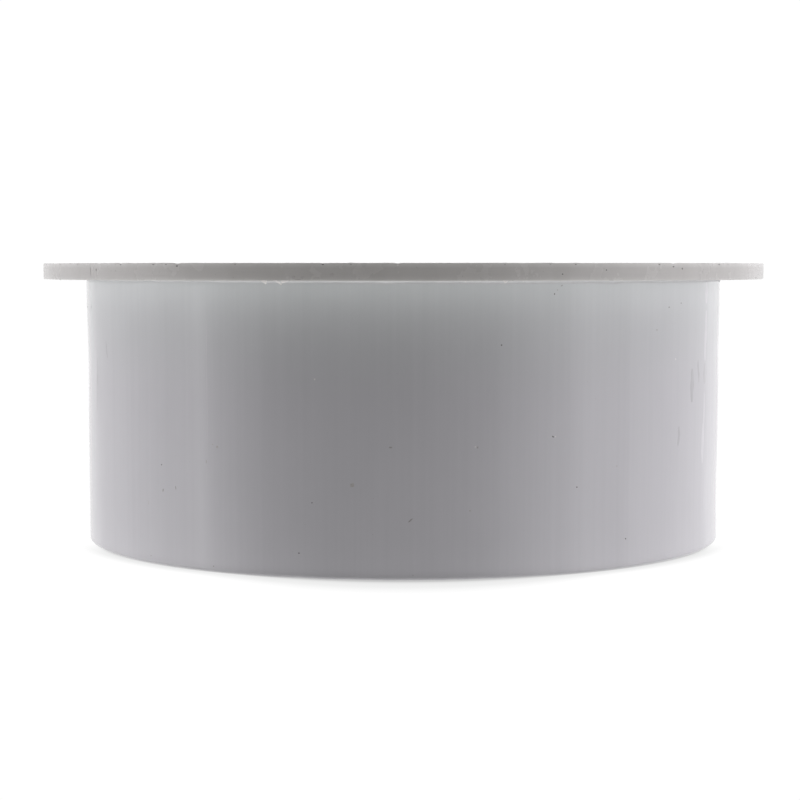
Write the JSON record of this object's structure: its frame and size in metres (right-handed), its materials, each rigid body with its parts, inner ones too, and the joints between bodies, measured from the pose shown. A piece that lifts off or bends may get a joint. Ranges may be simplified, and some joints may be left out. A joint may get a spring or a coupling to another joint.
{
  "type": "flanged pipe end cap",
  "caption": "Round flanged end cap: a thin flat disc bonded on a short straight spigot barrel that plugs into a 110 mm drain pipe socket.",
  "frame": {"origin": "centre of the spigot's open end, on the plane that the cap stands on", "axes": "+Z along the cap's axis from the open end to the closed disc; +X to the right and +Y away from the viewer in the front view"},
  "size_m": [0.1248, 0.1248, 0.0476],
  "materials": {
    "disc_pvc": "satin to matt light grey sheet, turned edge with fine tool marks and small burrs",
    "barrel_pvc": "glossy extruded light grey pipe, faint draw lines and light handling scuffs",
    "cured_cement": "cured solvent cement, slightly milky"
  },
  "bodies": {
    "root": {"closure_disc": "disc_pvc", "spigot_barrel": "barrel_pvc", "outer_cement_fillet": "cured_cement", "inner_cement_fillet": "cured_cement"}
  },
  "joints": []
}
